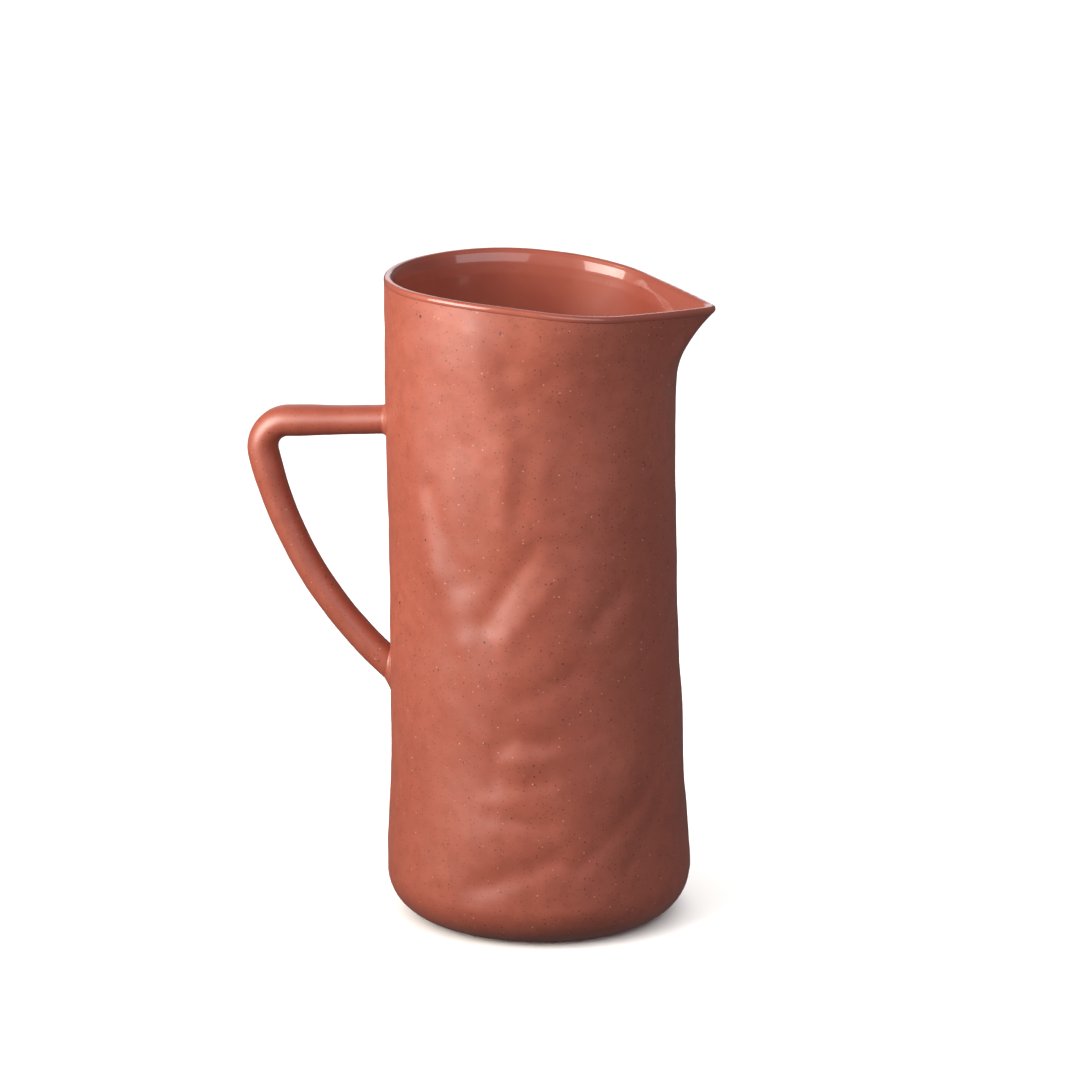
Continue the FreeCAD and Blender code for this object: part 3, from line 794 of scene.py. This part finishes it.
def floor_rows(low, wall_gap):
    """Rows from the middle of the floor, out over the slab and up the hollow of the coil."""
    cove = COVE - wall_gap
    flat = INSIDE - COVE
    rows = [level_ring(radius, low) for radius in np.linspace(0, flat, FLAT_RINGS)[:-1]]
    for turn in np.linspace(0, QUARTER, COVE_RINGS)[:-1]:
        rows.append(level_ring(flat + cove * math.sin(turn), COIL_TOP - cove * math.cos(turn)))
    return rows


def wiped_rows(depth):
    """Rows under the lip on the outside, down to the wiped edge, this much proud of the clay."""
    rows = []
    for t in WIPED_STEPS:
        below = rim - LIP_ROUND - WIPED * t
        proud = depth * min(1.0, THIN_EDGE * (1 - t))
        face = outer_face(below)
        rows.append(face + outward(np.array([outer_face(below - 1), face]))[1] * proud)
    return rows


first_inside = np.searchsorted(FOOT_ROUND + shares * (RIM_BACK - FOOT_ROUND), COIL_TOP + 2)
clay_side = thinned(inner_face[first_inside:])
free_side = thinned((inner_face - outward(inner_face) * COAT)[first_inside:])
print("glaze: %.2f mm inside, %.2f mm over the lip" % (COAT, LIP_COAT))

# %% [markdown]
# The skin starts in the middle of the floor, on its free side: out over the floor, up the inside,
# over the lip and down to the wiped edge. It comes back the same way, against the clay.

# %% The glaze, rolled up
glaze_rows = np.array(
    floor_rows(FLOOR_TOP + COAT, COAT) + free_side
    + lip_arc(marked_face, LIP_THICK, OVER_LIP, LIP_COAT)[::-1] + wiped_rows(LIP_COAT)[::-1]
    + wiped_rows(0.0)[:-1] + lip_arc(marked_face, LIP_THICK, OVER_LIP)
    + clay_side[::-1] + floor_rows(FLOOR_TOP, 0.0)[::-1])
liner_glaze = rolled_slab("pitcher_liner_glaze", glaze_rows)
print("glaze:", len(liner_glaze.data.polygons), "faces")

# %% [markdown]
# ## Colours and nodes
# Colours are written as they look on a screen, in hex, and turned to the linear values that light
# is reckoned in. One small function adds a node, sets it and links it.

# %% Colour and node helpers
def linear(hex_colour):
    """Turns an sRGB hex colour into linear red, green, blue and alpha."""
    parts = [int(hex_colour[i:i + 2], 16) / 255 for i in (1, 3, 5)]
    lit = [p / 12.92 if p <= 0.04045 else ((p + 0.055) / 1.055) ** 2.4 for p in parts]
    return (*lit, 1.0)


def add_node(tree, kind, settings=None, **inputs):
    """Adds a node; settings are its own options, inputs are values or sockets to link from."""
    node = tree.nodes.new(kind)
    for key, value in (settings or {}).items():
        setattr(node, key, value)
    for key, value in inputs.items():
        name = int(key[1:]) if key[0] == "n" and key[1:].isdigit() else key.replace("_", " ")
        socket = node.inputs[name]
        if isinstance(value, bpy.types.NodeSocket):
            tree.links.new(value, socket)
        else:
            socket.default_value = value
    return node


def new_material(name):
    """An empty material and its node tree."""
    material = bpy.data.materials.new(name)
    material.use_nodes = True
    material.node_tree.nodes.clear()
    return material, material.node_tree


def per_mm(size):
    """Texture scale that repeats once in this many millimetres, for coordinates in metres."""
    return 1.0 / (size * MM)


print("terracotta in linear light:", [round(part, 3) for part in linear("#a04e38")[:3]])

# %% [markdown]
# ## Bare stoneware
# The outside is iron-rich stoneware left without glaze: a fired clay that isn't shiny, but whose
# skin, rubbed smooth, has a soft satin sheen. Grog and iron in the clay burn to fine brown specks,
# and mica and quartz leave small grains, smoother than the clay. These grains are painted a paler
# colour as well, which is a painted glint. To the eye: warm terracotta, slightly clouded and
# peppered. Noise gives the clouds, and a pattern of cells gives the specks, a dot in the middle of
# some of them.

# %% Masks of dots and clouds
SPECK_EDGE = 0.12                   # width of a speck's soft edge, in mm


def dots(tree, place, spacing, share, radius, seed):
    """A mask of round dots: spacing and radius in mm, share is the part of the cells with a dot."""
    shifted = add_node(tree, "ShaderNodeMapping", n0=place,
                       Location=(seed * 0.013, seed * 0.007, 0))
    cells = add_node(tree, "ShaderNodeTexVoronoi", {"voronoi_dimensions": "3D"},
                     Vector=shifted.outputs[0], Scale=per_mm(spacing), Randomness=1.0)
    chance = add_node(tree, "ShaderNodeSeparateColor", n0=cells.outputs["Color"])
    full = add_node(tree, "ShaderNodeMapRange", {"clamp": True}, n0=chance.outputs[0], n1=0.0,
                    n2=share, n3=radius / spacing, n4=0.5 * radius / spacing)
    chosen = add_node(tree, "ShaderNodeMath", {"operation": "LESS_THAN"},
                      n0=chance.outputs[0], n1=share)
    own_size = add_node(tree, "ShaderNodeMath", {"operation": "MULTIPLY"}, n0=full.outputs[0],
                        n1=chosen.outputs[0])
    edge = add_node(tree, "ShaderNodeMath", {"operation": "SUBTRACT"}, n0=own_size.outputs[0],
                    n1=cells.outputs["Distance"])
    soft = add_node(tree, "ShaderNodeMapRange", {"clamp": True}, n0=edge.outputs[0], n1=0.0,
                    n2=SPECK_EDGE / spacing, n3=0.0, n4=1.0)
    return soft.outputs[0]


def mixed(tree, mask, first, second):
    """One colour over another by a mask."""
    node = add_node(tree, "ShaderNodeMix", {"data_type": "RGBA"}, n0=mask, n6=first, n7=second)
    return node.outputs[2]


def clouds(tree, place, size, detail=3.0, low=0.35, high=0.65):
    """A soft cloudy mask whose patches are about this many millimetres."""
    cloud = add_node(tree, "ShaderNodeTexNoise", Vector=place, Scale=per_mm(size), Detail=detail)
    spread = add_node(tree, "ShaderNodeMapRange", {"clamp": True}, n0=cloud.outputs[0],
                      n1=low, n2=high)
    return spread.outputs[0]


print("speck edge, mm:", SPECK_EDGE)

# %% [markdown]
# The colour is laid on in layers: the clay, its clouds, then the specks as they form in the kiln,
# from the commonest to the rarest, and last a paler colour on the mica dots, which is a painted
# glint. Each layer of specks has its own spacing, size and colour. The mica dots are also smoother
# than the clay round them, so they catch the lamps.

# %% Colour of the stoneware
SPECKS = [  # spacing in mm, share of the cells, radius in mm, seed, colour
    (1.15, 0.60, 0.36, 1, "#7c3726"),         # fine brown peppering, drawn a little large to show
    (2.1, 0.38, 0.44, 2, "#662a1d"),          # darker iron specks, drawn a little large to show
    (12.0, 0.25, 0.70, 3, "#42231d"),         # a few burnt grains
    (40.0, 0.30, 1.50, 6, "#7f6a66"),         # rare bluish-grey grog
]
MICA_AND_PAINTED_GLINTS = (1.9, 0.26, 0.34, 4)                  # mica dots; their paler colour is a painted glint. Drawn larger than life to show at all

stoneware, tree = new_material("unglazed_speckled_stoneware")
place = add_node(tree, "ShaderNodeTexCoord").outputs["Object"]
clay = mixed(tree, clouds(tree, place, 34), linear("#a04e38"), linear("#aa563f"))
clay = mixed(tree, clouds(tree, place, 5, 4.0, 0.45, 0.85), clay, linear("#984932"))
for spacing, share, radius, seed, colour in SPECKS:
    clay = mixed(tree, dots(tree, place, spacing, share, radius, seed), clay, linear(colour))
mica_and_painted_glints = dots(tree, place, *MICA_AND_PAINTED_GLINTS)
# painted glint: the mica dots are laid on in a paler colour
clay = mixed(tree, mica_and_painted_glints, clay, linear("#d9a28f"))
print("stoneware colour:", len(tree.nodes), "nodes")

# %% [markdown]
# The skin has a fine grain under 1 mm, which breaks up the sheen, and broader rubbed places, where
# the potter's hand has smoothed it, a little glossier than the rest. Fired clay this dense is a
# glassy body, so it reflects somewhat more than a plastic does.

# %% Skin of the stoneware
GRAIN, RUBBED = 0.9, 14                        # sizes of the grain and the rubbed places, in mm
SMOOTH, ROUGH, GLINT_ROUGH = 0.43, 0.50, 0.25

grain = add_node(tree, "ShaderNodeTexNoise", Vector=place, Scale=per_mm(GRAIN), Detail=4.0,
                 Roughness=0.6)
rubbed = add_node(tree, "ShaderNodeTexNoise", Vector=place, Scale=per_mm(RUBBED), Detail=3.0)
relief = add_node(tree, "ShaderNodeMath", {"operation": "MULTIPLY_ADD"}, n0=rubbed.outputs[0],
                  n1=4.0, n2=grain.outputs[0])
bump = add_node(tree, "ShaderNodeBump", Strength=0.35, Distance=0.06 * MM, Height=relief.outputs[0])
satin = add_node(tree, "ShaderNodeMapRange", n0=rubbed.outputs[0], n1=0.3, n2=0.7,
                 n3=SMOOTH, n4=ROUGH)
shine = add_node(tree, "ShaderNodeMapRange", n0=mica_and_painted_glints, n1=0.0, n2=1.0,
                 n3=satin.outputs[0], n4=GLINT_ROUGH)
skin = add_node(tree, "ShaderNodeBsdfPrincipled", Base_Color=clay, Roughness=shine.outputs[0],
                IOR=1.55, Specular_IOR_Level=1.0, Normal=bump.outputs[0])
add_node(tree, "ShaderNodeOutputMaterial", Surface=skin.outputs[0])
print("stoneware in all:", len(tree.nodes), "nodes")

# %% [markdown]
# ## Clear liner glaze
# The inside is the same clay under clear glossy glaze. Wet-looking glass makes the clay's colour
# deeper and more even, drowns most of its specks, and mirrors the lamps with sharp edges. The clay
# is the base of the shader, and the glass is its coat.

# %% Clear glaze over stoneware
glazed, tree = new_material("clear_glaze_over_stoneware")
place = add_node(tree, "ShaderNodeTexCoord").outputs["Object"]
under = mixed(tree, clouds(tree, place, 26), linear("#9c4a38"), linear("#a4533f"))
under = mixed(tree, dots(tree, place, 3.4, 0.3, 0.4, 5), under, linear("#803b2b"))
pooled = add_node(tree, "ShaderNodeTexNoise", Vector=place, Scale=per_mm(18), Detail=2.0)
ripple = add_node(tree, "ShaderNodeBump", Strength=0.2, Distance=0.12 * MM,
                  Height=pooled.outputs[0])
glass = add_node(tree, "ShaderNodeBsdfPrincipled", Base_Color=under, Roughness=0.5, IOR=1.5,
                 Coat_Weight=1.0, Coat_Roughness=0.07, Coat_IOR=1.52, Normal=ripple.outputs[0])
add_node(tree, "ShaderNodeOutputMaterial", Surface=glass.outputs[0])
print("glaze:", len(tree.nodes), "nodes")

# %% [markdown]
# ## Which piece is what
# Every piece gets its finish and rides on the one body, and the imported solid it stands for is
# hidden.

# %% Finishes, and the imported solids that the pieces stand for
PIECES = [
    (body_wall, "body_wall", stoneware, "stoneware"),
    (floor_slab, "base_slab", stoneware, "stoneware"),
    (corner_coil, "seam_coil", stoneware, "stoneware"),
    (handle, "handle", stoneware, "stoneware"),
    (upper_collar, "upper_handle_joint", stoneware, "stoneware"),
    (lower_collar, "lower_handle_joint", stoneware, "stoneware"),
    (liner_glaze, "liner_glaze", glazed, "liner_glaze"),
]
for piece, node, finish, slot in PIECES:
    piece.data.materials.clear()
    piece.data.materials.append(finish)
    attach(piece, "root")
    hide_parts(node)
print("pieces:", [piece.name for piece, *_ in PIECES])

# %% [markdown]
# ## Floor, light and camera
# The pitcher stands on wide pale paper, as in a studio. The paper isn't part of the pitcher and
# isn't attached to its body. It is seen, but it throws no light back, so the underside of the foot
# and handle is dark.

# %% Floor
FLOOR_SIDE = 24.0
FLOOR_GAP = 0.0002                             # keeps the paper from touching the foot

bpy.ops.object.select_all(action="DESELECT")
bpy.ops.mesh.primitive_plane_add(size=FLOOR_SIDE, location=(0, 0, -FLOOR_GAP))
floor = bpy.context.object
floor.name = floor.data.name = "studio_floor"
floor.visible_diffuse = floor.visible_glossy = False
paper, tree = new_material("pale_matt_paper")
place = add_node(tree, "ShaderNodeTexCoord").outputs["Object"]
fibre = mixed(tree, clouds(tree, place, 400), linear("#dddbd8"), linear("#e1dfdc"))
matt = add_node(tree, "ShaderNodeBsdfPrincipled", Base_Color=fibre, Roughness=0.9)
add_node(tree, "ShaderNodeOutputMaterial", Surface=matt.outputs[0])
floor.data.materials.append(paper)
print("floor:", FLOOR_SIDE, "m square")

# %% [markdown]
# Large lamps give the soft fall of light across the wall, and their straight edges show in the
# glaze. The key lamp stands to the left and in front, and its beam is narrowed and aimed at the
# rim, so the light dies away towards the foot. A wide lamp on the right fills the shadow side, and
# a weak one behind shapes the back.

# %% Lamps on the pitcher
def soft_lamp(name, place, aim, size, watts, colour, beam=180):
    """A rectangular lamp that faces a point; beam is its spread in degrees."""
    data = bpy.data.lights.new(name, "AREA")
    data.shape = "RECTANGLE"
    data.size, data.size_y = size
    data.energy, data.color = watts, linear(colour)[:3]
    data.spread = math.radians(beam)
    lamp = bpy.data.objects.new(name, data)
    lamp.location = place
    lamp.rotation_euler = (Vector(aim) - Vector(place)).to_track_quat("-Z", "Y").to_euler()
    lamp.visible_camera = False
    bpy.context.scene.collection.objects.link(lamp)


def round_the_table(azimuth, off, height):
    """A place round the pitcher: azimuth in degrees from the spout, -90 at the front."""
    return (off * math.cos(math.radians(azimuth)), off * math.sin(math.radians(azimuth)), height)


soft_lamp("key_lamp", round_the_table(-139, 0.75, 0.54), aim=(0.10, 0, 0.29), size=(0.80, 0.66),
          watts=5.2, colour="#fff6ee", beam=95)
soft_lamp("side_lamp", round_the_table(-46, 1.15, 0.86), aim=(0, 0, 0.20), size=(1.5, 0.8),
          watts=8.4, colour="#f8f4fa")
soft_lamp("back_lamp", round_the_table(100, 1.2, 0.7), aim=(0, 0, 0.18), size=(0.9, 0.7),
          watts=2.6, colour="#f8f4fa")

# %% [markdown]
# The floor has a broad lamp of its own, linked to the floor alone, so it can be near white while
# the pitcher keeps its dark side. The room is dim for the light that it gives and white where it is
# seen, so the floor runs into it without a line.

# %% Lamp on the floor, and the room
floor_light = bpy.data.lights.new("floor_lamp", "SUN")
floor_light.energy, floor_light.angle = 4.3, math.radians(110)
floor_lamp = bpy.data.objects.new("floor_lamp", floor_light)
floor_lamp.location = (0, 0, 3.0)
bpy.context.scene.collection.objects.link(floor_lamp)
only_floor = bpy.data.collections.new("lit_by_floor_lamp")
only_floor.objects.link(floor)
floor_lamp.light_linking.receiver_collection = only_floor

room = bpy.data.worlds.new("pale_room")
room.use_nodes = True
tree = room.node_tree
tree.nodes.clear()
dim = add_node(tree, "ShaderNodeBackground", Color=linear("#e8ebf0"), Strength=0.16)
backdrop = add_node(tree, "ShaderNodeBackground", Color=linear("#ffffff"), Strength=1.0)
seen = add_node(tree, "ShaderNodeLightPath").outputs["Is Camera Ray"]
either = add_node(tree, "ShaderNodeMixShader", n0=seen, n1=dim.outputs[0], n2=backdrop.outputs[0])
add_node(tree, "ShaderNodeOutputWorld", Surface=either.outputs[0])
bpy.context.scene.world = room
bpy.context.scene.view_settings.view_transform = "Standard"
print("floor lamp:", floor_light.energy, "W per square metre")

# %% [markdown]
# The camera stands two metres off, a little above the pitcher and turned eight degrees to its spout
# side, with a long lens, so the upright sides stay nearly parallel.

# %% Camera
CAMERA_TURN, CAMERA_TILT = math.radians(8.0), math.radians(14.513)   # to the side, downwards
CAMERA_OFF, CAMERA_HEIGHT = 2.0, 0.66447
camera_data = bpy.data.cameras.new("camera")
camera_data.sensor_width = 36.0
camera_data.lens = 179.87
camera = bpy.data.objects.new("camera", camera_data)
camera.location = (
    CAMERA_OFF * math.sin(CAMERA_TURN), -CAMERA_OFF * math.cos(CAMERA_TURN), CAMERA_HEIGHT)
camera.rotation_euler = (QUARTER - CAMERA_TILT, 0, CAMERA_TURN)
bpy.context.scene.collection.objects.link(camera)
bpy.context.scene.camera = camera
print("camera at, m:", [round(v, 3) for v in camera.location])
